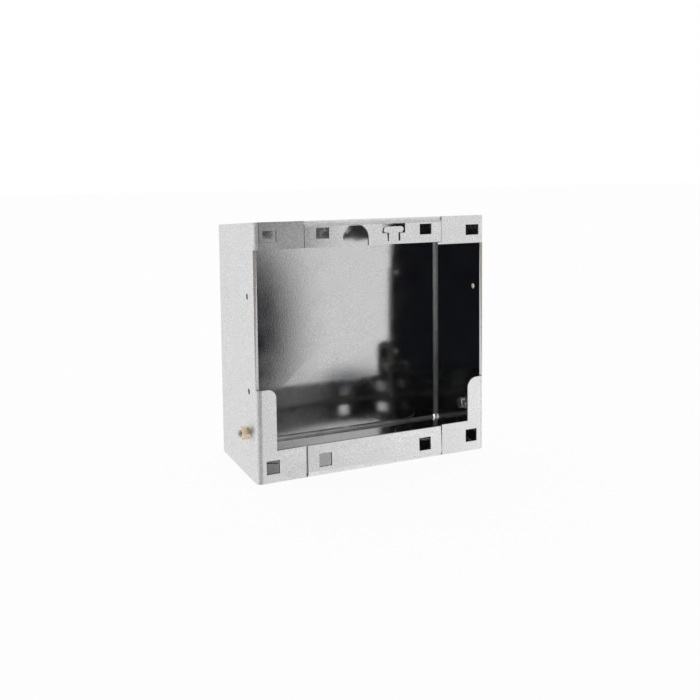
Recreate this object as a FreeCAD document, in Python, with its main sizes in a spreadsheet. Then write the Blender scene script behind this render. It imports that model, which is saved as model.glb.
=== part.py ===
import FreeCAD, Part
import os
import Sketcher

# Flush back box for a wall plate, folded from one sheet of galvanised steel, with two earth terminals.
# X runs to the right, Y from the open front to the back, Z up. While the pieces are drawn, X = 0 is the
# middle of the box, the front flanges lie on Y = 0 and the lower edges of the side walls on Z = 0.
# Every finished piece is then shifted, so that the origin is the centre of the footprint on which the
# box stands, measured over both earth terminals.

doc = FreeCAD.newDocument("flush_back_box")

# Driving dimensions, in millimetres and degrees
SIZES = {
    "box_width": 150.0,  # width over the side walls at the front
    "box_height": 150.0,  # height of the side walls at the front
    "box_depth": 68.0,  # depth from the front flanges to the back panel
    "gauge": 1.5,  # thickness of the sheet
    "bend_radius": 3.7,  # outer radius of every bend
    "side_out_angle": 1.7,  # how far each side wall stands outwards of square
    "top_in_angle": 4.2,  # how far the top wall is folded past square
    "bottom_in_angle": 3.1,  # how far the bottom wall is folded past square
    "side_edge_angle": 2.1,  # slope of the side walls' lower edges
    "bottom_drop": 1.2,  # how far the bottom wall lies below the edges of the side walls
    "corner_gap": 0.3,  # gap between the side walls and the top and bottom walls
    "shelf_gap": 0.3,  # gap between a side flange and the top or bottom wall behind it
    "corner_relief": 2.0,  # gap between the back panel and the edges of the side walls
    "back_lap": 4.0,  # strip of the back panel drawn with each side wall
    "cut_margin": 5.0,  # how far the outlines of cuts run past the sheet

    "left_flange_reach": 29.7,  # left flange end from the left side
    "right_flange_reach": 30.6,  # right flange end from the right side
    "left_seam": 1.0,  # gap between the left and centre flanges
    "right_seam": 0.25,  # gap between the right and centre flanges
    "top_flange_drop": 15.7,  # depth of the centre top flange
    "left_flange_drop": 15.6,  # depth of the left top flange
    "right_flange_drop": 17.3,  # depth of the right top flange
    "bottom_flange_rise": 18.4,  # height of the centre and left bottom flanges
    "right_flange_rise": 19.3,  # height of the right bottom flange
    "tongue_reach": 2.6,  # reach of the right flange's tongue below the centre flange
    "tongue_drop": 15.95,  # upper edge of that tongue, from the top
    "arm_width": 12.0,  # width of the upright arm of each bottom corner flange
    "left_arm_top": 54.3,  # top of the left arm
    "left_arm_corner": 5.0,  # corner radius of the left arm
    "right_arm_top": 47.2,  # top of the right arm
    "right_arm_corner": 6.5,  # corner radius of the right arm
    "bare_edge_setback": 1.9,  # bare front edge of a side wall, behind the flanges

    "square_width": 8.0,  # width of the clip holes
    "top_square_height": 6.5,  # height of the clip holes in the top flanges
    "bottom_square_height": 8.0,  # height of the clip holes in the bottom flanges
    "outer_square_inset": 9.5,  # outer clip holes from the sides
    "inner_square_inset": 41.6,  # inner clip holes from the sides
    "wide_square_width": 9.2,  # width of the outer clip hole of the right top flange
    "lower_square_inset": 42.4,  # inner clip hole of the bottom flange from the right side
    "left_square_drop": 8.2,  # clip hole of the left top flange, from the top
    "centre_square_drop": 7.5,  # clip holes of the centre top flange, from the top
    "right_square_drop": 9.0,  # clip hole of the right top flange, from the top
    "left_square_rise": 9.0,  # clip hole of the left bottom flange, from the bottom
    "centre_square_rise": 8.8,  # clip holes of the centre bottom flange, from the bottom
    "right_square_rise": 9.8,  # clip hole of the right bottom flange, from the bottom

    "arch_offset": 12.7,  # arched notch, to the left of the centre
    "arch_width": 16.4,  # width of the arched notch
    "arch_drop": 2.9,  # crown of the arched notch, from the top
    "arch_crown": 0.1,  # short level stretch at the crown of the arched notch

    "tab_offset": 11.9,  # T-shaped tab, to the right of the centre
    "tab_slot_width": 15.3,  # width of the window round the tab's head
    "tab_slot_drop": 3.4,  # upper edge of that window, from the top
    "tab_slot_shoulder": 9.1,  # lower edge of that window, from the top
    "tab_head_width": 13.0,  # width of the tab's head
    "tab_head_drop": 5.2,  # upper edge of the tab's head, from the top
    "tab_head_under": 8.8,  # underside of the tab's head, from the top
    "tab_head_corner": 1.7,  # corner radius of the tab's head
    "tab_stem_width": 6.3,  # width of the tab's stem
    "tab_stem_slot": 8.7,  # width over the two slots beside the stem
    "tab_foot_drop": 13.8,  # foot of the stem, from the top

    "fixing_hole": 3.5,  # diameter of the fixing holes in the side walls
    "fixing_inset": 12.2,  # fixing holes from the front
    "left_fixing_high": 107.0,  # upper fixing hole of the left wall
    "left_fixing_low": 51.8,  # lower fixing hole of the left wall
    "right_fixing_high": 103.6,  # upper fixing hole of the right wall
    "right_fixing_low": 40.5,  # lower fixing hole of the right wall

    "knockout_diameter": 33.6,  # diameter of the pressed cable knockouts
    "knockout_inset": 23.6,  # centre of each knockout from the side
    "knockout_margin": 3.2,  # flat strip between each knockout and the back bend
    "knockout_lift": 0.7,  # how far each knockout is pressed inwards
    "knockout_rim": 0.5,  # chamfer of its pressed rim

    "screw_diameter": 4.0,  # earth screw thread diameter
    "screw_clearance": 0.15,  # gap round the screw in the wall and washers
    "thread_clearance": 0.05,  # gap between screw and nut threads
    "earth_inset": 12.3,  # earth screws from the front
    "earth_rise": 28.0,  # height of the earth screws
    "nut_flats": 7.0,  # nut width across flats
    "nut_height": 3.2,  # height of the two inner nuts
    "thin_nut_height": 2.4,  # height of the two outer nuts
    "nut_chamfer": 0.45,  # corner chamfer of the nuts
    "plate_washer_diameter": 9.0,  # plate washer outside diameter
    "plate_washer_height": 0.8,  # plate washer thickness
    "spring_washer_diameter": 7.2,  # spring washer outside diameter
    "spring_washer_height": 0.9,  # spring washer thickness
    "spring_washer_split": 0.7,  # width of the spring washer's split
    "head_diameter": 7.0,  # screw head diameter
    "head_height": 2.6,  # screw head height
    "head_edge": 0.4,  # chamfer of the screw head
    "slot_width": 1.1,  # width of the screwdriver slot
    "slot_depth": 1.2,  # depth of the screwdriver slot
    "left_screw_length": 16.0,  # left earth screw under its head
    "right_screw_length": 12.0,  # right earth screw under its head
    "end_chamfer": 0.4,  # chamfer of the screw's end
}

sheet = doc.addObject("Spreadsheet::Sheet", "Sizes")
for row, (alias, amount) in enumerate(SIZES.items(), 1):
    sheet.set("A%d" % row, alias)
    sheet.set("B%d" % row, str(amount))
    sheet.setAlias("B%d" % row, alias)
doc.recompute()

def full(words):
    """An expression in which every dimension's name points at the table of sizes."""
    for alias in SIZES:
        words = words.replace("[" + alias + "]", "Sizes." + alias)
    return words


# Slopes of the walls, written once
SIDE_SLOPE = "tan([side_out_angle] * 1 deg)"
TOP_SLOPE = "tan([top_in_angle] * 1 deg)"
BOTTOM_SLOPE = "tan([bottom_in_angle] * 1 deg)"
EDGE_SLOPE = "tan([side_edge_angle] * 1 deg)"
HALF = "[box_width] / 2"

# Shifts of every finished piece. The left earth screw is the longer one, and the bend of the bottom
# wall is the lowest place of the box.
SHIFT_X = "([left_screw_length] - [right_screw_length]) / 2"
SHIFT_Y = "(-[box_depth] / 2)"
SHIFT_Z = "([bottom_drop] - [bend_radius] * (" + BOTTOM_SLOPE + " + 1 / cos([bottom_in_angle] * 1 deg) - 1))"


def number(words):
    """The present value of an expression."""
    return float(sheet.evalExpression(full(words)))


def new_sketch(body, name, plane):
    """A sketch on one of the body's own origin planes."""
    sketch = body.newObject("Sketcher::SketchObject", name)
    role = [feature for feature in body.Origin.OriginFeatures if feature.Role == plane]
    sketch.AttachmentSupport = [(role[0], "")]
    sketch.MapMode = "FlatFace"
    return sketch


def place(sketch, geometry, end, axis, words):
    """Tie one end of a line to the origin by an expression."""
    kind = "DistanceX" if axis == "x" else "DistanceY"
    constraint = Sketcher.Constraint(kind, -1, 1, geometry, end, number(words))
    index = sketch.addConstraint(constraint)
    sketch.setExpression("Constraints[%d]" % index, full(words))


def polygon(sketch, corners):
    """A closed outline through corners that are each given by two expressions."""
    points = [FreeCAD.Vector(number(across), number(up), 0) for across, up in corners]
    count = len(points)
    first = sketch.GeometryCount
    for index in range(count):
        sketch.addGeometry(Part.LineSegment(points[index], points[(index + 1) % count]), False)
    for index in range(count):
        following = first + (index + 1) % count
        sketch.addConstraint(Sketcher.Constraint("Coincident", first + index, 2, following, 1))
    for index, (across, up) in enumerate(corners):
        place(sketch, first + index, 1, "x", across)
        place(sketch, first + index, 1, "y", up)


def square_outline(sketch, lines, corners=None):
    """A closed outline of upright and level lines, each given by its place, with rounded corners.

    lines holds ("x" or "y", expression) in turn. corners holds the radius at the end of a line.
    """
    corners = corners or {}
    count = len(lines)
    places = [number(words) for axis, words in lines]
    first = sketch.GeometryCount

    def meeting(index):
        """The point where a line meets the one after it."""
        here = places[index % count]
        there = places[(index + 1) % count]
        if lines[index % count][0] == "x":
            return FreeCAD.Vector(here, there, 0)
        return FreeCAD.Vector(there, here, 0)

    def towards(start, end, distance):
        """The point a distance from start on the way to end."""
        return start + (end - start).normalize() * distance

    for index in range(count):
        start = meeting(index - 1)
        end = meeting(index)
        begin = start
        finish = end
        before = (index - 1) % count
        if before in corners:
            begin = towards(start, end, number(corners[before]))
        if index in corners:
            finish = towards(end, start, number(corners[index]))
        sketch.addGeometry(Part.LineSegment(begin, finish), False)
    for index in range(count):
        axis, words = lines[index]
        sketch.addConstraint(Sketcher.Constraint("Vertical" if axis == "x" else "Horizontal", first + index))
        place(sketch, first + index, 1, axis, words)
    for index in range(count):
        following = first + (index + 1) % count
        if index not in corners:
            sketch.addConstraint(Sketcher.Constraint("Coincident", first + index, 2, following, 1))
            continue
        radius = number(corners[index])
        corner = meeting(index)
        before = towards(corner, meeting(index - 1), radius)
        after = towards(corner, meeting(index + 1), radius)
        centre = before + after - corner
        bow = centre + (corner - centre).normalize() * radius
        arc = sketch.addGeometry(Part.Arc(before, bow, after), False)
        turn = (before - centre).cross(after - centre).z
        begin, finish = (1, 2) if turn > 0 else (2, 1)
        sketch.addConstraint(Sketcher.Constraint("Tangent", first + index, 2, arc, begin))
        sketch.addConstraint(Sketcher.Constraint("Tangent", arc, finish, following, 1))
        bound = sketch.addConstraint(Sketcher.Constraint("Radius", arc, radius))
        sketch.setExpression("Constraints[%d]" % bound, full(corners[index]))


def circle(sketch, across, up, diameter):
    """A circle whose centre and diameter are given by expressions."""
    centre = FreeCAD.Vector(number(across), number(up), 0)
    normal = FreeCAD.Vector(0, 0, 1)
    added = sketch.addGeometry(Part.Circle(centre, normal, number(diameter) / 2), False)
    place(sketch, added, 3, "x", across)
    place(sketch, added, 3, "y", up)
    bound = sketch.addConstraint(Sketcher.Constraint("Diameter", added, number(diameter)))
    sketch.setExpression("Constraints[%d]" % bound, full(diameter))


def pad(body, name, sketch, length, symmetric=False):
    """Extrude a sketch by an expression's length."""
    feature = body.newObject("PartDesign::Pad", name)
    feature.Profile = sketch
    feature.SideType = "Symmetric" if symmetric else "One side"
    feature.setExpression("Length", full(length))
    doc.recompute()
    return feature


def pocket(body, name, sketch, length=None, symmetric=False, reversed_way=False):
    """Cut a sketch through everything, or to an expression's depth, and check that it cut."""
    before = body.Shape.Volume
    feature = body.newObject("PartDesign::Pocket", name)
    feature.Profile = sketch
    feature.SideType = "Symmetric" if symmetric else "One side"
    feature.Reversed = reversed_way
    if length is None:
        feature.Type = "ThroughAll"
    else:
        feature.setExpression("Length", full(length))
    doc.recompute()
    if not feature.Shape.Volume < before:
        raise RuntimeError(name + " cuts nothing")
    return feature


def finish_edges(body, kind, name, base, amount, wanted):
    """Round or chamfer the edges of the last feature that answer to a test."""
    edges = []
    for index, edge in enumerate(base.Shape.Edges):
        if wanted(edge):
            edges.append("Edge%d" % (index + 1))
    feature = body.newObject(kind, name)
    feature.Base = (base, edges)
    feature.setExpression("Radius" if kind == "PartDesign::Fillet" else "Size", full(amount))
    doc.recompute()
    return feature


def parallel(first, second):
    """True for two unit vectors on one line, either way round."""
    nearly_one = 0.9999
    return abs(first.dot(second)) > nearly_one


def along(edge, axis):
    """True for a straight edge that runs along an axis."""
    return edge.Curve.TypeId == "Part::GeomLine" and parallel(edge.Curve.Direction, axis)


def tube(body, base, axis):
    """Hollow a solid into a sheet-metal tube that is open at both ends of an axis."""
    ends = []
    for index, face in enumerate(base.Shape.Faces):
        if face.Surface.TypeId == "Part::GeomPlane" and parallel(face.normalAt(0, 0), axis):
            ends.append("Face%d" % (index + 1))
    feature = body.newObject("PartDesign::Thickness", body.Name + "_Sheet")
    feature.Base = (base, ends)
    feature.Reversed = True
    feature.Join = "Intersection"
    feature.setExpression("Value", full("[gauge]"))
    doc.recompute()


AXIS_X = FreeCAD.Vector(1, 0, 0)
AXIS_Z = FreeCAD.Vector(0, 0, 1)

# Centre strip of the blank: top flange, top wall, back panel, bottom wall and bottom flange
strip = doc.addObject("PartDesign::Body", "CentreStrip")
BACK_SIDE = "(" + HALF + " + [box_depth] * " + SIDE_SLOPE + ")"
BACK_BEND = "(" + BACK_SIDE + " - [bend_radius])"

strip_side = new_sketch(strip, "StripSide", "YZ_Plane")
polygon(strip_side, [
    ("0", "-[bottom_drop]"),
    ("0", "[box_height]"),
    ("[box_depth]", "[box_height] - [box_depth] * " + TOP_SLOPE),
    ("[box_depth]", "[box_depth] * " + BOTTOM_SLOPE + " - [bottom_drop]"),
])
strip_block = pad(strip, "StripBlock", strip_side, "2 * " + BACK_SIDE, symmetric=True)
strip_bends = finish_edges(
    strip, "PartDesign::Fillet", "StripBends", strip_block, "[bend_radius]", lambda edge: along(edge, AXIS_X))
tube(strip, strip_bends, AXIS_X)

# The strip is narrowed to fit between the side walls, and its flanges stop at the seams
BEHIND_FLANGE = "[gauge] + [shelf_gap]"
WALL_EDGE = "(" + HALF + " - [gauge] - [corner_gap])"
for name, sign, reach, seam in (
    ("Left", "-1", "[left_flange_reach]", "[left_seam]"),
    ("Right", "1", "[right_flange_reach]", "[right_seam]"),
):
    seam_line = "%s * (%s - %s - %s)" % (sign, HALF, reach, seam)
    beyond = "%s * (%s + [cut_margin])" % (sign, BACK_SIDE)
    trim = new_sketch(strip, "StripTrim" + name, "XY_Plane")
    polygon(trim, [
        (seam_line, "-[cut_margin]"),
        (seam_line, BEHIND_FLANGE),
        ("%s * (%s - [bend_radius])" % (sign, HALF), BEHIND_FLANGE),
        ("%s * (%s + [bend_radius] * %s)" % (sign, WALL_EDGE, SIDE_SLOPE), "[bend_radius]"),
        ("%s * (%s + ([box_depth] - [bend_radius]) * %s)" % (sign, WALL_EDGE, SIDE_SLOPE),
         "[box_depth] - [bend_radius]"),
        ("%s * %s" % (sign, BACK_BEND), "[box_depth] - [bend_radius]"),
        ("%s * %s" % (sign, BACK_BEND), "[box_depth] + [cut_margin]"),
        (beyond, "[box_depth] + [cut_margin]"),
        (beyond, "-[cut_margin]"),
    ])
    pocket(strip, "StripEdge" + name, trim, symmetric=True)

# The front opens between the centre flanges
strip_mouth = new_sketch(strip, "StripMouth", "XZ_Plane")
square_outline(strip_mouth, [
    ("x", "-" + HALF),
    ("y", "[bottom_flange_rise]"),
    ("x", HALF),
    ("y", "[box_height] - [top_flange_drop]"),
])
pocket(strip, "StripOpening", strip_mouth, "2 * [gauge]")


def clip_holes(body, name, holes):
    """Clip holes, each given by its side, its inset, its width, its middle height and its height."""
    sketch = new_sketch(body, name, "XZ_Plane")
    for sign, inset, width, middle, height in holes:
        centre = "%s * (%s - %s)" % (sign, HALF, inset)
        square_outline(sketch, [
            ("x", centre + " - " + width + " / 2"),
            ("y", middle + " - " + height + " / 2"),
            ("x", centre + " + " + width + " / 2"),
            ("y", middle + " + " + height + " / 2"),
        ])
    pocket(body, name + "Cut", sketch, "2 * [gauge]")


CENTRE_TOP = "[box_height] - [centre_square_drop]"
clip_holes(strip, "InnerClipHoles", [
    ("-1", "[inner_square_inset]", "[square_width]", CENTRE_TOP, "[top_square_height]"),
    ("1", "[inner_square_inset]", "[square_width]", CENTRE_TOP, "[top_square_height]"),
    ("-1", "[inner_square_inset]", "[square_width]", "[centre_square_rise]", "[bottom_square_height]"),
    ("1", "[lower_square_inset]", "[square_width]", "[centre_square_rise]", "[bottom_square_height]"),
])

# Arched notch in the centre top flange, for a cable or a finger
arch = new_sketch(strip, "Arch", "XZ_Plane")
ARCH_RADIUS = "([arch_width] - [arch_crown]) / 2"
square_outline(arch, [
    ("x", "-[arch_offset] - [arch_width] / 2"),
    ("y", "[box_height] - [arch_drop]"),
    ("x", "-[arch_offset] + [arch_width] / 2"),
    ("y", "[box_height] - [top_flange_drop] - [cut_margin]"),
], {0: ARCH_RADIUS, 1: ARCH_RADIUS})
pocket(strip, "ArchNotch", arch, "2 * [gauge]")

# T-shaped tab, left standing in a window of the centre top flange
TAB = "[tab_offset]"


def tab_line(sign, width):
    """An upright line of the tab, half a width to one side of its middle."""
    return "%s %s %s / 2" % (TAB, sign, width)


tab = new_sketch(strip, "Tab", "XZ_Plane")
square_outline(tab, [
    ("x", tab_line("-", "[tab_stem_slot]")),
    ("y", "[box_height] - [tab_slot_shoulder]"),
    ("x", tab_line("-", "[tab_slot_width]")),
    ("y", "[box_height] - [tab_slot_drop]"),
    ("x", tab_line("+", "[tab_slot_width]")),
    ("y", "[box_height] - [tab_slot_shoulder]"),
    ("x", tab_line("+", "[tab_stem_slot]")),
    ("y", "[box_height] - [tab_foot_drop]"),
    ("x", tab_line("+", "[tab_stem_width]")),
    ("y", "[box_height] - [tab_head_under]"),
    ("x", tab_line("+", "[tab_head_width]")),
    ("y", "[box_height] - [tab_head_drop]"),
    ("x", tab_line("-", "[tab_head_width]")),
    ("y", "[box_height] - [tab_head_under]"),
    ("x", tab_line("-", "[tab_stem_width]")),
    ("y", "[box_height] - [tab_foot_drop]"),
], {9: "[tab_head_corner]", 10: "[tab_head_corner]", 11: "[tab_head_corner]", 12: "[tab_head_corner]"})
pocket(strip, "TabWindow", tab, "2 * [gauge]")

# Two cable knockouts, pressed half through the sloping bottom wall from outside
def knockout_circles(name):
    """Both knockout circles, drawn on the outer face of the sloping bottom wall."""
    sketch = new_sketch(strip, name, "XY_Plane")
    sketch.AttachmentOffset = FreeCAD.Placement(FreeCAD.Vector(), FreeCAD.Rotation(AXIS_X, 1))
    sketch.setExpression("AttachmentOffset.Rotation.Angle", full("[bottom_in_angle] * 1 deg"))
    sketch.setExpression("AttachmentOffset.Base.z", full("-[bottom_drop]"))
    from_front = "([box_depth] - [bend_radius] - [knockout_margin] - [knockout_diameter] / 2)"
    for sign in ("-1", "1"):
        circle(sketch, "%s * (%s - [knockout_inset])" % (sign, HALF),
               from_front + " / cos([bottom_in_angle] * 1 deg)", "[knockout_diameter]")
    return sketch


pad(strip, "KnockoutDisc", knockout_circles("KnockoutInside"), "[gauge] + [knockout_lift]")
pocket(strip, "KnockoutHollow", knockout_circles("KnockoutOutside"), "[knockout_lift]", reversed_way=True)


def pressed_rim(edge):
    """True for the upper circle of a knockout disc."""
    rounding_error = 0.01
    if edge.Curve.TypeId != "Part::GeomCircle":
        return False
    if abs(edge.Curve.Radius - SIZES["knockout_diameter"] / 2) > rounding_error:
        return False
    centre = edge.Curve.Center
    height_over_wall = centre.z + SIZES["bottom_drop"] - centre.y * number(BOTTOM_SLOPE)
    return height_over_wall > SIZES["gauge"] + SIZES["knockout_lift"] / 2


finish_edges(strip, "PartDesign::Chamfer", "KnockoutRims", strip.Tip, "[knockout_rim]", pressed_rim)

# Side walls with their flanges, bent up from the two edges of the back panel
wings = doc.addObject("PartDesign::Body", "SideWings")
wings.AllowCompound = True
wings_plan = new_sketch(wings, "WingsPlan", "XY_Plane")
polygon(wings_plan, [
    ("-" + HALF, "0"),
    (HALF, "0"),
    (BACK_SIDE, "[box_depth]"),
    ("-" + BACK_SIDE, "[box_depth]"),
])
wings_block = pad(wings, "WingsBlock", wings_plan, "[box_height]")
wings_bends = finish_edges(
    wings, "PartDesign::Fillet", "WingsBends", wings_block, "[bend_radius]", lambda edge: along(edge, AXIS_Z))
tube(wings, wings_bends, AXIS_Z)

# The back panel belongs to the centre strip, so only a lap of it stays on each wing
wings_back = new_sketch(wings, "WingsBack", "XY_Plane")
square_outline(wings_back, [
    ("x", "-(" + BACK_BEND + " - [back_lap])"),
    ("y", "[box_depth] - 2 * [gauge]"),
    ("x", BACK_BEND + " - [back_lap]"),
    ("y", "[box_depth] + [cut_margin]"),
])
pocket(wings, "WingsBackCut", wings_back, reversed_way=True)

# Upper and lower edges of the wings run along the top and bottom walls, and stop at the corner reliefs
EDGE_END = "([box_depth] - [corner_relief])"
OUTER_TOP = "([box_height] - " + EDGE_END + " * " + TOP_SLOPE + ")"
OUTER_BOTTOM = "(" + EDGE_END + " * " + EDGE_SLOPE + ")"
wings_trim = new_sketch(wings, "WingsTrim", "YZ_Plane")
polygon(wings_trim, [
    ("-[cut_margin]", "[box_height] + [cut_margin] * " + TOP_SLOPE),
    (EDGE_END, OUTER_TOP),
    (EDGE_END, OUTER_TOP + " - [bend_radius]"),
    ("[box_depth] + [cut_margin]", OUTER_TOP + " - [bend_radius]"),
    ("[box_depth] + [cut_margin]", "[box_height] + [cut_margin]"),
    ("-[cut_margin]", "[box_height] + [cut_margin]"),
])
polygon(wings_trim, [
    ("-[cut_margin]", "-[cut_margin] * " + EDGE_SLOPE),
    ("-[cut_margin]", "-[cut_margin]"),
    ("[box_depth] + [cut_margin]", "-[cut_margin]"),
    ("[box_depth] + [cut_margin]", OUTER_BOTTOM + " + [bend_radius]"),
    (EDGE_END, OUTER_BOTTOM + " + [bend_radius]"),
    (EDGE_END, OUTER_BOTTOM),
])
pocket(wings, "WingsEdges", wings_trim, symmetric=True)

# The front opens between the side flanges: short flanges above, L-shaped ones with an arm below
LEFT_END = "-(" + HALF + " - [left_flange_reach])"
RIGHT_END = "(" + HALF + " - [right_flange_reach])"
wings_mouth = new_sketch(wings, "WingsMouth", "XZ_Plane")
square_outline(wings_mouth, [
    ("x", LEFT_END),
    ("y", "[bottom_flange_rise]"),
    ("x", "-(" + HALF + " - [arm_width])"),
    ("y", "[left_arm_top]"),
    ("x", "-(" + HALF + " + [cut_margin])"),
    ("y", "[box_height] - [left_flange_drop]"),
    ("x", LEFT_END),
    ("y", "[box_height] + [cut_margin]"),
    ("x", RIGHT_END),
    ("y", "[box_height] - [tongue_drop]"),
    ("x", RIGHT_END + " - [tongue_reach]"),
    ("y", "[box_height] - [right_flange_drop]"),
    ("x", HALF + " + [cut_margin]"),
    ("y", "[right_arm_top]"),
    ("x", HALF + " - [arm_width]"),
    ("y", "[right_flange_rise]"),
    ("x", RIGHT_END),
    ("y", "-[cut_margin]"),
], {2: "[left_arm_corner]", 13: "[right_arm_corner]"})
pocket(wings, "WingsOpening", wings_mouth, "[bare_edge_setback]")

LEFT_TOP = "[box_height] - [left_square_drop]"
RIGHT_TOP = "[box_height] - [right_square_drop]"
clip_holes(wings, "OuterClipHoles", [
    ("-1", "[outer_square_inset]", "[square_width]", LEFT_TOP, "[top_square_height]"),
    ("1", "[outer_square_inset] + ([wide_square_width] - [square_width]) / 2", "[wide_square_width]",
     RIGHT_TOP, "[top_square_height]"),
    ("-1", "[outer_square_inset]", "[square_width]", "[left_square_rise]", "[bottom_square_height]"),
    ("1", "[outer_square_inset]", "[square_width]", "[right_square_rise]", "[bottom_square_height]"),
])

# Fixing holes and the hole of the earth screw in each side wall
for name, to_the_right, high, low in (
    ("Left", False, "[left_fixing_high]", "[left_fixing_low]"),
    ("Right", True, "[right_fixing_high]", "[right_fixing_low]"),
):
    holes = new_sketch(wings, "WallHoles" + name, "YZ_Plane")
    circle(holes, "[fixing_inset]", high, "[fixing_hole]")
    circle(holes, "[fixing_inset]", low, "[fixing_hole]")
    circle(holes, "[earth_inset]", "[earth_rise]", "[screw_diameter] + 2 * [screw_clearance]")
    pocket(wings, "WallHolesCut" + name, holes, "[box_width]", reversed_way=to_the_right)

# The folded box, in one piece
box = doc.addObject("Part::MultiFuse", "Box")
box.Label = "back_box"
box.Shapes = [strip, wings]
box.Refine = True
box.setExpression("Placement.Base.x", full(SHIFT_X))
box.setExpression("Placement.Base.y", full(SHIFT_Y))
box.setExpression("Placement.Base.z", full(SHIFT_Z))
doc.recompute()


# Earth terminals: drawn along Z with the outer face of the side wall at Z = 0, then set on the wall

def seat(piece, side):
    """Turn a piece of the stack square to a side wall and move it to the earth screw's hole."""
    sign = "1" if side == "right" else "-1"
    yaw = "-[side_out_angle]" if side == "right" else "180 + [side_out_angle]"
    across = "%s * (%s + [earth_inset] * %s) + %s" % (sign, HALF, SIDE_SLOPE, SHIFT_X)
    back = "[earth_inset] + " + SHIFT_Y
    up = "[earth_rise] + " + SHIFT_Z
    words = (
        "create(<<placement>>; create(<<vector>>; " + across + "; " + back + "; " + up + "); "
        "create(<<rotation>>; " + yaw + "; 90; 0))"
    )
    piece.setExpression("Placement", full(words))


def ring(name, diameter, bore, height, start):
    """A flat ring from start along the stack."""
    outside = doc.addObject("Part::Cylinder", name + "_Outside")
    outside.setExpression("Radius", full(diameter + " / 2"))
    inside = doc.addObject("Part::Cylinder", name + "_Bore")
    inside.setExpression("Radius", full(bore + " / 2"))
    for cylinder in (outside, inside):
        cylinder.setExpression("Height", full(height))
        cylinder.setExpression("Placement.Base.z", full(start))
    cut = doc.addObject("Part::Cut", name + "_Ring")
    cut.Base = outside
    cut.Tool = inside
    return cut


def nut(side, label, height, start):
    """A hexagon nut with chamfered corners, tightened with two of its flats level."""
    name = side + "_" + label
    blank = doc.addObject("Part::Prism", name + "_Hexagon")
    blank.Polygon = 6
    blank.setExpression("Circumradius", full("[nut_flats] / 2 / cos(30 deg)"))
    blank.setExpression("Height", full(height))
    blank.Placement.Rotation = FreeCAD.Rotation(AXIS_Z, 30)
    blank.setExpression("Placement.Base.z", full(start))
    turned = doc.addObject("Part::Cylinder", name + "_Turned")
    turned.setExpression("Radius", full("[nut_flats] / 2 / cos(30 deg)"))
    turned.setExpression("Height", full(height))
    turned.setExpression("Placement.Base.z", full(start))
    doc.recompute()
    edges = []
    for index, edge in enumerate(turned.Shape.Edges):
        if edge.Curve.TypeId == "Part::GeomCircle":
            edges.append((index + 1, SIZES["nut_chamfer"], SIZES["nut_chamfer"]))
    chamfer = doc.addObject("Part::Chamfer", name + "_Chamfer")
    chamfer.Base = turned
    chamfer.Edges = edges
    common = doc.addObject("Part::Common", name + "_Corners")
    common.Base = blank
    common.Tool = chamfer
    bore = doc.addObject("Part::Cylinder", name + "_Thread")
    bore.setExpression("Radius", full("[screw_diameter] / 2 + [thread_clearance]"))
    bore.setExpression("Height", full(height))
    bore.setExpression("Placement.Base.z", full(start))
    piece = doc.addObject("Part::Cut", name)
    piece.Label = name
    piece.Base = common
    piece.Tool = bore
    seat(piece, side)
    return piece


def plate_washer(side, start):
    """A flat washer under the clamping nut."""
    name = side + "_plate_washer"
    bore = "([screw_diameter] + 2 * [screw_clearance])"
    piece = ring(name, "[plate_washer_diameter]", bore, "[plate_washer_height]", start)
    piece.Label = name
    seat(piece, side)
    return piece


def spring_washer(side):
    """A split ring against the outer face of the wall."""
    name = side + "_spring_washer"
    bore = "([screw_diameter] + 2 * [screw_clearance])"
    whole = ring(name, "[spring_washer_diameter]", bore, "[spring_washer_height]", "0")
    split = doc.addObject("Part::Box", name + "_Split")
    split.setExpression("Length", full("[spring_washer_diameter]"))
    split.setExpression("Width", full("[spring_washer_split]"))
    split.setExpression("Height", full("[spring_washer_height]"))
    split.setExpression("Placement.Base.y", full("-[spring_washer_split] / 2"))
    piece = doc.addObject("Part::Cut", name)
    piece.Label = name
    piece.Base = whole
    piece.Tool = split
    seat(piece, side)
    return piece


# Places along the stack, outwards from the wall's outer face and inwards from its inner face
THIN_NUT = "[spring_washer_height]"
LOCK_NUT = THIN_NUT + " + [thin_nut_height]"
WALL_NUT = "-[gauge] - [nut_height]"
PLATE_WASHER = WALL_NUT + " - [plate_washer_height]"
CLAMP_NUT = PLATE_WASHER + " - [nut_height]"


def earth_screw(side):
    """A cheese-head machine screw, entered from inside the box."""
    body = doc.addObject("PartDesign::Body", side + "_EarthScrew")
    body.Label = side + "_earth_screw"
    profile = new_sketch(body, side + "_ScrewProfile", "XZ_Plane")
    head_end = CLAMP_NUT + " - [head_height]"
    screw_end = CLAMP_NUT + " + [" + side + "_screw_length]"
    polygon(profile, [
        ("0", head_end),
        ("[head_diameter] / 2 - [head_edge]", head_end),
        ("[head_diameter] / 2", head_end + " + [head_edge]"),
        ("[head_diameter] / 2", CLAMP_NUT),
        ("[screw_diameter] / 2", CLAMP_NUT),
        ("[screw_diameter] / 2", screw_end + " - [end_chamfer]"),
        ("[screw_diameter] / 2 - [end_chamfer]", screw_end),
        ("0", screw_end),
    ])
    turned = body.newObject("PartDesign::Revolution", side + "_ScrewTurned")
    turned.Profile = profile
    turned.ReferenceAxis = (profile, ["V_Axis"])
    doc.recompute()
    driver = new_sketch(body, side + "_ScrewSlot", "YZ_Plane")
    square_outline(driver, [
        ("x", "-[slot_width] / 2"),
        ("y", head_end + " - [cut_margin]"),
        ("x", "[slot_width] / 2"),
        ("y", head_end + " + [slot_depth]"),
    ])
    pocket(body, side + "_ScrewSlotCut", driver, symmetric=True)
    seat(body, side)
    return body


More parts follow.
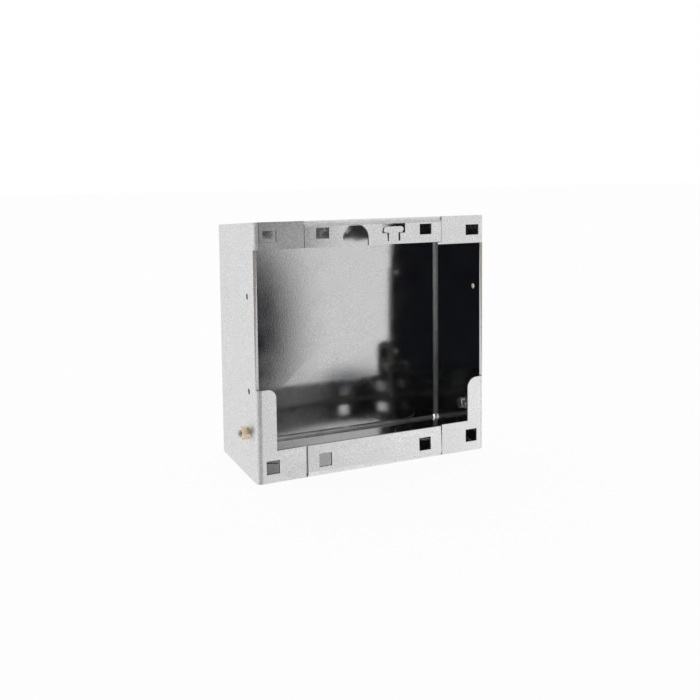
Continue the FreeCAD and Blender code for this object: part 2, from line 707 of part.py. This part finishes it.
pieces = [box]
for side in ("left", "right"):
    pieces.append(earth_screw(side))
    pieces.append(nut(side, "clamp_nut", "[nut_height]", CLAMP_NUT))
    pieces.append(plate_washer(side, PLATE_WASHER))
    pieces.append(nut(side, "wall_nut", "[nut_height]", WALL_NUT))
    pieces.append(spring_washer(side))
    pieces.append(nut(side, "thin_nut", "[thin_nut_height]", THIN_NUT))
pieces.append(nut("left", "lock_nut", "[thin_nut_height]", LOCK_NUT))
doc.recompute()

# Nothing is written unless every object worked and every piece is a sound solid
for item in doc.Objects:
    if "Invalid" in item.State or "Error" in item.State:
        raise RuntimeError(item.Label + " failed: " + ", ".join(item.State))
for piece in pieces:
    shape = piece.Shape
    if shape.isNull() or not shape.isValid() or len(shape.Solids) != 1:
        raise RuntimeError(piece.Label + " is not one sound solid")

os.makedirs("parts", exist_ok=True)
for piece in pieces:
    piece.Shape.exportStep("parts/" + piece.Label + ".step")
    extent = piece.Shape.BoundBox
    print("%-22s %9.1f mm3  x %7.2f %7.2f  y %7.2f %7.2f  z %7.2f %7.2f" % (
        piece.Label, piece.Shape.Volume,
        extent.XMin, extent.XMax, extent.YMin, extent.YMax, extent.ZMin, extent.ZMax))
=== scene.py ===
from math import cos, radians, sin

import bmesh
import bpy
from mathutils import Matrix, Vector
from mathutils.bvhtree import BVHTree


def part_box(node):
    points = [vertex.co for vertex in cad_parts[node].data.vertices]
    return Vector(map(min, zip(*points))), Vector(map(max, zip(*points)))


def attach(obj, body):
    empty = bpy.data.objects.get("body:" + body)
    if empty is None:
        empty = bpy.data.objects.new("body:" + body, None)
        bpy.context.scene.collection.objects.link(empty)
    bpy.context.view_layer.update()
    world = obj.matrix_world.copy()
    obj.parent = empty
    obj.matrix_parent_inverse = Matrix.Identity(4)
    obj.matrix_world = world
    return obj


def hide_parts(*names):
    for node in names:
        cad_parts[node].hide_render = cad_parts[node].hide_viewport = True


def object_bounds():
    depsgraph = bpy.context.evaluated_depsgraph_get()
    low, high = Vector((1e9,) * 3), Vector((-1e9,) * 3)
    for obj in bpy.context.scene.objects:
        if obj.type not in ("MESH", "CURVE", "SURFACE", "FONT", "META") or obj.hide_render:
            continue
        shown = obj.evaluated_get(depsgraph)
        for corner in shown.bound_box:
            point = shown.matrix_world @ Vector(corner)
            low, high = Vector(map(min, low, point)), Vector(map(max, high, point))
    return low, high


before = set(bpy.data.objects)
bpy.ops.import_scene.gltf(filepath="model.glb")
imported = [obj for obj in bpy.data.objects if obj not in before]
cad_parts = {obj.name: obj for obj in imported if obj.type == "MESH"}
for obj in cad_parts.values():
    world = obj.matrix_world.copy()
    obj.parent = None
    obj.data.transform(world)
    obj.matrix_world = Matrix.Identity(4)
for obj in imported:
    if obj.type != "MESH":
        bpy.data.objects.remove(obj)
cad_low, cad_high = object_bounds()
scene = bpy.context.scene

# Camera. It stands to the left of the open box and a little above it, and looks slightly down.
# The picture is cut from a larger one, so the lens axis lies off its middle. The width, the focal
# length and the place of the lens axis are in pixels of the picture.
CAMERA_AIM = Vector((0.02753, -0.034, 0.13501))
CAMERA_AZIMUTH = radians(-26.79)
CAMERA_ELEVATION = radians(4.9)
CAMERA_ROLL = radians(-0.29)
CAMERA_DISTANCE = 0.55599
PICTURE_WIDTH = 700
FOCAL_LENGTH = 917.62
LENS_AXIS_X = 414.15
LENS_AXIS_Y = 243.43
NEAREST_SEEN = 0.01

lens = bpy.data.cameras.new("Camera")
lens.lens = FOCAL_LENGTH / PICTURE_WIDTH * lens.sensor_width
lens.shift_x = (PICTURE_WIDTH / 2 - LENS_AXIS_X) / PICTURE_WIDTH
lens.shift_y = (LENS_AXIS_Y - PICTURE_WIDTH / 2) / PICTURE_WIDTH
lens.clip_start = NEAREST_SEEN
camera = bpy.data.objects.new("Camera", lens)
scene.collection.objects.link(camera)
backwards = Vector((
    sin(CAMERA_AZIMUTH) * cos(CAMERA_ELEVATION),
    -cos(CAMERA_AZIMUTH) * cos(CAMERA_ELEVATION),
    sin(CAMERA_ELEVATION),
))
level_right = Vector((cos(CAMERA_AZIMUTH), sin(CAMERA_AZIMUTH), 0))
level_up = backwards.cross(level_right)
camera_right = cos(CAMERA_ROLL) * level_right + sin(CAMERA_ROLL) * level_up
camera_up = cos(CAMERA_ROLL) * level_up - sin(CAMERA_ROLL) * level_right
turn = Matrix((camera_right, camera_up, backwards)).transposed().to_4x4()
camera.matrix_world = Matrix.Translation(CAMERA_AIM + backwards * CAMERA_DISTANCE) @ turn
scene.camera = camera
scene.view_settings.view_transform = "Standard"

# Studio. The box stands on a white floor in a white room, one dark side of which shows in its metal.
# The room is painted by direction: 0 degrees is straight in front of the box, and positive angles are
# to its right. Mirrors look through the floor, so that its far edge doesn't show in them.
FLOOR_HALF = 6.0
FLOOR_SHADOW = 0.06
WHITE = (1, 1, 1, 1)
PALE_GREY = (0.86, 0.86, 0.87, 1)
DUSK = (0.10, 0.11, 0.13, 1)
DARK = (0.012, 0.013, 0.017, 1)

# Each pair holds the two ends of a patch's soft edge: bearings for a side, and the upward part of the
# direction for a foot or a top. The back wall's pair is the backward part of the direction.
DARK_LEFT = (radians(-66), radians(-54))
DARK_RIGHT = (radians(12.5), radians(20.5))
DARK_FOOT = (-0.33, -0.28)
DUSK_LEFT = (radians(-50), radians(-43))
DUSK_RIGHT = (radians(-24), radians(-16))
TABLE_LEFT = (radians(20), radians(21.5))
TABLE_RIGHT = (radians(28), radians(29.5))
TABLE_TOP = (-0.275, -0.26)
TABLE_FOOT = (-0.43, -0.40)
RIGHT_WALL_LEFT = (radians(28), radians(34))
RIGHT_WALL_FOOT = (-0.20, -0.10)
BACK_WALL = (0.2, 0.6)


def studio_world():
    """A white room with a dark side in front of the box, and plain white behind the picture."""
    world = bpy.data.worlds.new("White room")
    world.use_nodes = True
    nodes = world.node_tree.nodes
    links = world.node_tree.links
    background = nodes["Background"]
    background.inputs["Strength"].default_value = 1.0
    way = nodes.new("ShaderNodeTexCoord")
    parts = nodes.new("ShaderNodeSeparateXYZ")
    links.new(way.outputs["Generated"], parts.inputs["Vector"])
    forwards = nodes.new("ShaderNodeMath")
    forwards.operation = "MULTIPLY"
    forwards.inputs[1].default_value = -1
    links.new(parts.outputs["Y"], forwards.inputs[0])
    angle = nodes.new("ShaderNodeMath")
    angle.operation = "ARCTAN2"
    links.new(parts.outputs["X"], angle.inputs[0])
    links.new(forwards.outputs["Value"], angle.inputs[1])

    def rise(source, ends):
        """0 before the first end, 1 after the second one, softly in between."""
        node = nodes.new("ShaderNodeMapRange")
        node.interpolation_type = "SMOOTHSTEP"
        node.inputs["From Min"].default_value = ends[0]
        node.inputs["From Max"].default_value = ends[1]
        links.new(source, node.inputs["Value"])
        return node.outputs["Result"]

    def fall(source, ends):
        """1 before the first end, 0 after the second one, softly in between."""
        return rise(source, (ends[1], ends[0]))

    def meet(first, *others):
        """The place where all the masks meet."""
        mask = first
        for other in others:
            node = nodes.new("ShaderNodeMath")
            node.operation = "MULTIPLY"
            links.new(mask, node.inputs[0])
            links.new(other, node.inputs[1])
            mask = node.outputs["Value"]
        return mask

    def paint(mask, below, colour):
        """A colour laid over what is below it, or over white."""
        node = nodes.new("ShaderNodeMix")
        node.data_type = "RGBA"
        links.new(mask, node.inputs["Factor"])
        if below is None:
            node.inputs["A"].default_value = WHITE
        else:
            links.new(below, node.inputs["A"])
        node.inputs["B"].default_value = colour
        return node.outputs["Result"]

    bearing = angle.outputs["Value"]
    height = parts.outputs["Z"]
    right_wall = meet(rise(bearing, RIGHT_WALL_LEFT), rise(height, RIGHT_WALL_FOOT))
    back_wall = rise(parts.outputs["Y"], BACK_WALL)
    table = meet(rise(bearing, TABLE_LEFT), fall(bearing, TABLE_RIGHT),
                 fall(height, TABLE_TOP), rise(height, TABLE_FOOT))
    dusk = meet(rise(bearing, DUSK_LEFT), fall(bearing, DUSK_RIGHT))
    dark = meet(rise(bearing, DARK_LEFT), fall(bearing, DARK_RIGHT), rise(height, DARK_FOOT))
    room = None
    for mask, colour in ((right_wall, PALE_GREY), (back_wall, PALE_GREY), (table, DUSK),
                         (dusk, DUSK), (dark, DARK)):
        room = paint(mask, room, colour)
    seen = nodes.new("ShaderNodeLightPath")
    picture = nodes.new("ShaderNodeMix")
    picture.data_type = "RGBA"
    links.new(seen.outputs["Is Camera Ray"], picture.inputs["Factor"])
    links.new(room, picture.inputs["A"])
    picture.inputs["B"].default_value = WHITE
    links.new(picture.outputs["Result"], background.inputs["Color"])
    return world


def white_floor():
    """A white sheet that shows only a part of the shadow which falls on it."""
    material = bpy.data.materials.new("White floor")
    material.use_nodes = True
    nodes = material.node_tree.nodes
    links = material.node_tree.links
    nodes.clear()
    output = nodes.new("ShaderNodeOutputMaterial")
    mix = nodes.new("ShaderNodeMixShader")
    mix.inputs["Fac"].default_value = FLOOR_SHADOW
    glow = nodes.new("ShaderNodeEmission")
    glow.inputs["Color"].default_value = WHITE
    paper = nodes.new("ShaderNodeBsdfDiffuse")
    paper.inputs["Color"].default_value = WHITE
    links.new(glow.outputs["Emission"], mix.inputs[1])
    links.new(paper.outputs["BSDF"], mix.inputs[2])
    links.new(mix.outputs["Shader"], output.inputs["Surface"])
    return material


scene.world = studio_world()
floor_mesh = bpy.data.meshes.new("Floor")
floor_mesh.from_pydata([
    (-FLOOR_HALF, -FLOOR_HALF, 0), (FLOOR_HALF, -FLOOR_HALF, 0),
    (FLOOR_HALF, FLOOR_HALF, 0), (-FLOOR_HALF, FLOOR_HALF, 0),
], [], [(0, 1, 2, 3)])
floor_mesh.materials.append(white_floor())
floor = bpy.data.objects.new("Floor", floor_mesh)
scene.collection.objects.link(floor)
floor.visible_glossy = False

# Folded sheet of the box. It is zinc-coated steel, 1.5 mm thick, punched flat and then folded. The
# zinc covers both faces, and the cut edges are bare steel. The back panel is pushed in a little, and
# the front flanges stand a little out of line with each other.
GAUGE = 0.0015
OUTERMOST_SHEET = 1.1 * GAUGE
CUT_EDGE_DEPTH = 1.2 * GAUGE
MERGE_DISTANCE = 1e-6
RAY_START = 1e-5
FLAT_FACE = 0.99
FLAT_FACE_WEIGHT = 100
SMOOTH_ANGLE = radians(35)

# The push of the back panel, at its middle, and the borders inside which it fades to nothing.
BOX_SHIFT = 0.002
BOW = 0.0022
BOW_MIDDLE = (cad_low[0] + cad_high[0]) / 2 + BOX_SHIFT
BOW_HALF_WIDTH = 0.0725
BOW_LOW = 0.0076
BOW_HIGH = 0.1421
BOW_GRID = 14

# The flanges' ends, from left to right, and how far each one stands out of line for each metre. The
# curl is for each square metre.
FLANGE_LEFT_BEND = -0.0694
LEFT_FLANGE_END = -0.0428
MIDDLE_FLANGE_END = 0.0463
TOP_LEFT_TILT = -0.04
BOTTOM_LEFT_TILT = 0.035
BOTTOM_MIDDLE_LEAN = 0.045
BOTTOM_MIDDLE_LEAN_START = BOW_LOW / 2
TOP_MIDDLE_CURL = 0.8
TOP_MIDDLE_CURL_START = -0.016
CURL_ROWS = 8

# The sheet's finishes and painted shade, in the order of its materials. The zinc copies are darker
# inside and on the top flanges as painted shade, and palest on the low flanges as painted light.
TOP_FLANGE, CUT_EDGE, INSIDE, DULL, LOW_FLANGE = range(5)

# The zinc's patterns. Sizes are in metres, and a scale is the number of patches to the metre.
GRAIN_SIZE = 0.0010
GRAIN_DETAIL = 3
SHINE_SCALE = 90
SHINE_DETAIL = 4
RELIEF_HEIGHT = 0.00006
CONTRAST = (0.3, 0.7)

# The bare edges.
EDGE_ROUGHNESS = 0.42
BURR_SCALE = 1500
BURR_CONTRAST = (0.35, 0.65)
EDGE_BROWN = (0.36, 0.32, 0.26, 1)
EDGE_GREY = (0.60, 0.56, 0.50, 1)


def merged_copy(name):
    """A copy of a solid's mesh, with the corners of its loose triangles merged."""
    shape = bmesh.new()
    shape.from_mesh(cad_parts[name].data)
    bmesh.ops.remove_doubles(shape, verts=shape.verts, dist=MERGE_DISTANCE)
    return shape


def new_piece(name, shape):
    """A finished shape, made a piece of the scene."""
    mesh = bpy.data.meshes.new(name)
    shape.to_mesh(mesh)
    shape.free()
    piece = bpy.data.objects.new(name, mesh)
    scene.collection.objects.link(piece)
    return piece


def panel_faces(shape):
    """The faces of the back panel, inside and outside."""
    front_of_panel = cad_high[1] - OUTERMOST_SHEET
    return [face for face in shape.faces if min(v.co.y for v in face.verts) > front_of_panel]


def flange_faces(shape):
    """The faces of the front flanges, inside and outside."""
    behind_flanges = cad_low[1] + OUTERMOST_SHEET
    return [face for face in shape.faces if max(v.co.y for v in face.verts) < behind_flanges]


def cut_row(shape, faces, place, normal):
    """One straight row of edges across some faces."""
    edges = {edge for face in faces for edge in face.edges}
    verts = {vert for face in faces for vert in face.verts}
    bmesh.ops.bisect_plane(
        shape, geom=list(verts) + list(edges) + faces, plane_co=place, plane_no=normal)


def mark_finishes_and_painted_shade(shape):
    """Each face is given its finish and its painted shade by its place: darker zinc inside and on the
    top flanges as painted shade, paler zinc on the low flanges as painted light. The bends are as dull
    as the outside.
    """
    tree = BVHTree.FromBMesh(shape)
    heart = (cad_low + cad_high) / 2
    for face in shape.faces:
        middle = face.calc_center_median()
        inwards = -face.normal
        hit = tree.ray_cast(middle + inwards * RAY_START, inwards)
        found, depth = hit[0], hit[-1]
        if found is None or depth > CUT_EDGE_DEPTH:
            face.material_index = CUT_EDGE
        elif max(abs(part) for part in face.normal) < FLAT_FACE:
            face.material_index = DULL
        elif middle.y < cad_low.y + OUTERMOST_SHEET:
            face.material_index = TOP_FLANGE if middle.z > heart.z else LOW_FLANGE
        elif face.normal.dot(heart - middle) > 0:
            face.material_index = INSIDE
        else:
            face.material_index = DULL


def bow_panel(shape):
    """The back panel is pushed in, most at its middle."""
    for index in range(BOW_GRID + 1):
        share = index / BOW_GRID
        across = BOW_MIDDLE + BOW_HALF_WIDTH * (2 * share - 1)
        height = BOW_LOW + (BOW_HIGH - BOW_LOW) * share
        cut_row(shape, panel_faces(shape), (across, 0, 0), (1, 0, 0))
        cut_row(shape, panel_faces(shape), (0, 0, height), (0, 0, 1))
    middle = (BOW_LOW + BOW_HIGH) / 2
    half_height = (BOW_HIGH - BOW_LOW) / 2
    for vert in {vert for face in panel_faces(shape) for vert in face.verts}:
        across = min(1, abs((vert.co.x - BOW_MIDDLE) / BOW_HALF_WIDTH))
        upwards = min(1, abs((vert.co.z - middle) / half_height))
        vert.co.y -= BOW * (1 - across ** 2) * (1 - upwards ** 2)


def tilt_flanges(shape):
    """The left flanges tilt, the lower middle one leans, and the upper middle one curls at its end."""
    middle = (cad_low.z + cad_high.z) / 2
    for index in range(CURL_ROWS):
        across = LEFT_FLANGE_END + (TOP_MIDDLE_CURL_START - LEFT_FLANGE_END) * index / CURL_ROWS
        faces = [face for face in flange_faces(shape) if min(v.co.z for v in face.verts) > middle]
        cut_row(shape, faces, (across, 0, 0), (1, 0, 0))
    for vert in {vert for face in flange_faces(shape) for vert in face.verts}:
        across, height = vert.co.x, vert.co.z
        if across < LEFT_FLANGE_END:
            tilt = TOP_LEFT_TILT if height > middle else BOTTOM_LEFT_TILT
            vert.co.y += tilt * max(0, across - FLANGE_LEFT_BEND)
        elif across < MIDDLE_FLANGE_END and height > middle:
            vert.co.y += TOP_MIDDLE_CURL * max(0, TOP_MIDDLE_CURL_START - across) ** 2
        elif across < MIDDLE_FLANGE_END:
            vert.co.y += BOTTOM_MIDDLE_LEAN * max(0, height - BOTTOM_MIDDLE_LEAN_START)


def folded_sheet():
    """The sheet with its finishes and painted shade marked, a bowed back panel and tilted flanges."""
    shape = merged_copy("back_box")
    mark_finishes_and_painted_shade(shape)
    bow_panel(shape)
    tilt_flanges(shape)
    for face in shape.faces:
        face.smooth = True
    for edge in shape.edges:
        if len(edge.link_faces) == 2 and edge.calc_face_angle() > SMOOTH_ANGLE:
            edge.smooth = False
    piece = new_piece("folded_sheet", shape)
    weighted = piece.modifiers.new("Flat faces stay flat", "WEIGHTED_NORMAL")
    weighted.keep_sharp = True
    weighted.weight = FLAT_FACE_WEIGHT
    return piece


def metal(name):
    """A bare metal, with its surface and the place on the piece that its patterns follow."""
    material = bpy.data.materials.new(name)
    material.use_nodes = True
    surface = material.node_tree.nodes["Principled BSDF"]
    surface.inputs["Metallic"].default_value = 1.0
    place = material.node_tree.nodes.new("ShaderNodeTexCoord")
    return material, surface, place.outputs["Object"]


def mottle(material, place, scale, detail=2):
    """Soft patches between 0 and 1."""
    node = material.node_tree.nodes.new("ShaderNodeTexNoise")
    node.inputs["Scale"].default_value = scale
    node.inputs["Detail"].default_value = detail
    material.node_tree.links.new(place, node.inputs["Vector"])
    return node.outputs["Fac"]


def spread(material, pattern, contrast, values):
    """A pattern's values between the two ends of the contrast, stretched between two new values."""
    node = material.node_tree.nodes.new("ShaderNodeMapRange")
    node.inputs["From Min"].default_value = contrast[0]
    node.inputs["From Max"].default_value = contrast[1]
    node.inputs["To Min"].default_value = values[0]
    node.inputs["To Max"].default_value = values[1]
    material.node_tree.links.new(pattern, node.inputs["Value"])
    return node.outputs["Result"]


def two_colours(material, pattern, contrast, colours):
    """Two colours that follow a pattern."""
    node = material.node_tree.nodes.new("ShaderNodeValToRGB")
    for stop, position, colour in zip(node.color_ramp.elements, contrast, colours):
        stop.position = position
        stop.color = colour
    material.node_tree.links.new(pattern, node.inputs["Fac"])
    return node.outputs["Color"]


def zinc(name, pale, roughness, relief_strength,
         grain_size=GRAIN_SIZE, streak_sizes=(GRAIN_SIZE,) * 3):
    """Zinc: mottled grain, patches of more and less shine, and a faint relief."""
    material, surface, place = metal(name)
    nodes = material.node_tree.nodes
    links = material.node_tree.links

    grain = mottle(material, place, 1 / grain_size, GRAIN_DETAIL)
    paleness = spread(material, grain, CONTRAST, pale)
    tint = nodes.new("ShaderNodeCombineColor")
    for channel in ("Red", "Green", "Blue"):
        links.new(paleness, tint.inputs[channel])
    links.new(tint.outputs["Color"], surface.inputs["Base Color"])

    shine = mottle(material, place, SHINE_SCALE, SHINE_DETAIL)
    links.new(spread(material, shine, CONTRAST, roughness), surface.inputs["Roughness"])

    stretch = nodes.new("ShaderNodeMapping")
    stretch.inputs["Scale"].default_value = [1 / size for size in streak_sizes]
    links.new(place, stretch.inputs["Vector"])
    relief = nodes.new("ShaderNodeBump")
    relief.inputs["Strength"].default_value = relief_strength
    relief.inputs["Distance"].default_value = RELIEF_HEIGHT
    links.new(mottle(material, stretch.outputs["Vector"], 1, GRAIN_DETAIL), relief.inputs["Height"])
    links.new(relief.outputs["Normal"], surface.inputs["Normal"])
    return material


def bare_steel():
    """The cut edges of the sheet: bare steel, dull and faintly brown."""
    material, surface, place = metal("Bare steel edge")
    surface.inputs["Roughness"].default_value = EDGE_ROUGHNESS
    burr = mottle(material, place, BURR_SCALE)
    colour = two_colours(material, burr, BURR_CONTRAST, (EDGE_BROWN, EDGE_GREY))
    material.node_tree.links.new(colour, surface.inputs["Base Color"])
    return material


sheet = folded_sheet()
# One zinc coating in four copies, whose paleness is painted light and shade: darker inside and on the
# top flanges as painted shade, and palest on the low flanges as painted light.
for finish in (
    zinc("Zinc on the top flanges with painted shade", pale=(0.61, 0.87), roughness=(0.23, 0.30), relief_strength=0.15),
    bare_steel(),
    zinc("Zinc inside with painted shade", pale=(0.49, 0.64), roughness=(0.08, 0.13), relief_strength=0.2,
         grain_size=0.0007, streak_sizes=(0.0006, 0.0006, 0.0014)),
    zinc("Dull zinc", pale=(0.74, 0.98), roughness=(0.54, 0.66), relief_strength=0.2),
    zinc("Zinc on the low flanges with painted light", pale=(0.78, 1.0), roughness=(0.25, 0.32), relief_strength=0.15),
):
    sheet.data.materials.append(finish)
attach(sheet, "root")
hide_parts("back_box")

# Hexagon nuts of the earth terminals. They are turned brass and hold the screws in the side walls.
# Two stand inside each wall, two outside the left wall and one outside the right wall.
BRASS_ROUGHNESS = 0.28
TARNISH_SCALE = 700
BRASS_DARK = (0.80, 0.65, 0.44, 1)
BRASS_LIGHT = (0.96, 0.85, 0.66, 1)


def brass():
    """Plain turned brass, a little dull."""
    material, surface, place = metal("Turned brass")
    surface.inputs["Roughness"].default_value = BRASS_ROUGHNESS
    tarnish = mottle(material, place, TARNISH_SCALE)
    colour = two_colours(material, tarnish, CONTRAST, (BRASS_DARK, BRASS_LIGHT))
    material.node_tree.links.new(colour, surface.inputs["Base Color"])
    return material


def coat(piece, finish):
    """A piece of the solids takes a finish."""
    piece.data.materials.clear()
    piece.data.materials.append(finish)


brass_finish = brass()
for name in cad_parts:
    if name.endswith("_nut"):
        coat(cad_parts[name], brass_finish)

# Earth screws and washers. They are steel with a bright zinc plating. The screws are M4, entered from
# inside the box. The plate washers lie between the inner nuts, the spring washers outside the walls.
WALL_LEAN = radians(1.7)
SHANK_RADIUS = 0.002
SHANK_TOLERANCE = 0.00003
PLATING_COLOUR = (0.76, 0.77, 0.79, 1)
PLATING_ROUGHNESS = (0.25, 0.5)
WEAR_SCALE = 900
WEAR_CONTRAST = (0, 1)

# The thread. Its ridge turns to the left and has a flat side outwards, 1.79 mm from the axis, which
# nearly closes its grooves. The thread of a real M4 screw turns to the right, has open grooves and
# ends in a narrow crest, 2 mm from the axis.
THREAD_PITCH = 0.0007
THREAD_STEPS = 24
CORE_RADIUS = 0.00162
RIDGE_PATH_RADIUS = 0.00158
RIDGE_RADIUS = SHANK_RADIUS - RIDGE_PATH_RADIUS
RIDGE_CORNERS = 3


def bright_plating():
    """Zinc plating on small steel parts."""
    material, surface, place = metal("Bright plating")
    surface.inputs["Base Color"].default_value = PLATING_COLOUR
    gloss = spread(material, mottle(material, place, WEAR_SCALE), WEAR_CONTRAST, PLATING_ROUGHNESS)
    material.node_tree.links.new(gloss, surface.inputs["Roughness"])
    return material


def thread_tree():
    """A ridge of triangular section, wound along a spiral."""
    tree = bpy.data.node_groups.new("Screw thread", "GeometryNodeTree")
    tree.is_modifier = True
    sockets = {}
    for name, kind in (("Turns", "Float"), ("Length", "Float"), ("Ridge path radius", "Float"),
                       ("Ridge radius", "Float"), ("Finish", "Material")):
        socket = tree.interface.new_socket(name, in_out="INPUT", socket_type="NodeSocket" + kind)
        sockets[name] = socket.identifier
    tree.interface.new_socket("Geometry", in_out="OUTPUT", socket_type="NodeSocketGeometry")
    nodes = tree.nodes
    links = tree.links
    sizes = nodes.new("NodeGroupInput")
    path = nodes.new("GeometryNodeCurveSpiral")
    path.inputs["Resolution"].default_value = THREAD_STEPS
    for size, socket in (("Turns", "Rotations"), ("Length", "Height"),
                         ("Ridge path radius", "Start Radius"), ("Ridge path radius", "End Radius")):
        links.new(sizes.outputs[size], path.inputs[socket])
    upright = nodes.new("GeometryNodeSetCurveNormal")
    upright.mode = "Z_UP"
    links.new(path.outputs["Curve"], upright.inputs["Curve"])
    ridge = nodes.new("GeometryNodeCurvePrimitiveCircle")
    ridge.inputs["Resolution"].default_value = RIDGE_CORNERS
    links.new(sizes.outputs["Ridge radius"], ridge.inputs["Radius"])
    wound = nodes.new("GeometryNodeCurveToMesh")
    wound.inputs["Fill Caps"].default_value = True
    links.new(upright.outputs["Curve"], wound.inputs["Curve"])
    links.new(ridge.outputs["Curve"], wound.inputs["Profile Curve"])
    realised = nodes.new("GeometryNodeRealizeInstances")
    links.new(wound.outputs["Mesh"], realised.inputs["Geometry"])
    finish = nodes.new("GeometryNodeSetMaterial")
    links.new(realised.outputs["Geometry"], finish.inputs["Geometry"])
    links.new(sizes.outputs["Finish"], finish.inputs["Material"])
    output = nodes.new("NodeGroupOutput")
    links.new(finish.outputs["Geometry"], output.inputs["Geometry"])
    return tree, sockets


def wound_thread(length):
    """The thread alone, along +Z from the origin, as a plain mesh."""
    holder = bpy.data.objects.new("thread", bpy.data.meshes.new("thread"))
    scene.collection.objects.link(holder)
    modifier = holder.modifiers.new("Screw thread", "NODES")
    modifier.node_group = screw_thread
    for name, value in (
        ("Turns", length / THREAD_PITCH),
        ("Length", length),
        ("Ridge path radius", RIDGE_PATH_RADIUS),
        ("Ridge radius", RIDGE_RADIUS),
        ("Finish", plating),
    ):
        modifier[thread_sockets[name]] = value
    graph = bpy.context.evaluated_depsgraph_get()
    mesh = bpy.data.meshes.new_from_object(holder.evaluated_get(graph))
    bpy.data.objects.remove(holder)
    return mesh


def threaded_screw(side):
    """The screw's own head, its shank thinned to the core of the thread, and the thread round it."""
    outwards = -1 if side == "left" else 1
    axis = Vector((outwards * cos(WALL_LEAN), -sin(WALL_LEAN), 0))
    low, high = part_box(side + "_wall_nut")
    middle = (low + high) / 2
    shape = merged_copy(side + "_earth_screw")
    shank = []
    for vert in shape.verts:
        along = (vert.co - middle).dot(axis)
        off_axis = vert.co - middle - along * axis
        if abs(off_axis.length - SHANK_RADIUS) < SHANK_TOLERANCE:
            shank.append(along)
            vert.co = middle + along * axis + off_axis.normalized() * CORE_RADIUS
    thread = wound_thread(max(shank) - min(shank))
    across = Vector((0, 0, 1)).cross(axis)
    place = Matrix((across, axis.cross(across), axis)).transposed().to_4x4()
    thread.transform(Matrix.Translation(middle + min(shank) * axis) @ place)
    shape.from_mesh(thread)
    for face in shape.faces:
        face.material_index = 0
    piece = new_piece(side + "_threaded_screw", shape)
    piece.data.materials.append(plating)
    return piece


plating = bright_plating()
screw_thread, thread_sockets = thread_tree()
for side in ("left", "right"):
    screw = threaded_screw(side)
    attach(screw, "root")
    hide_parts(side + "_earth_screw")
    for part in ("plate_washer", "spring_washer"):
        coat(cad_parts[side + "_" + part], plating)
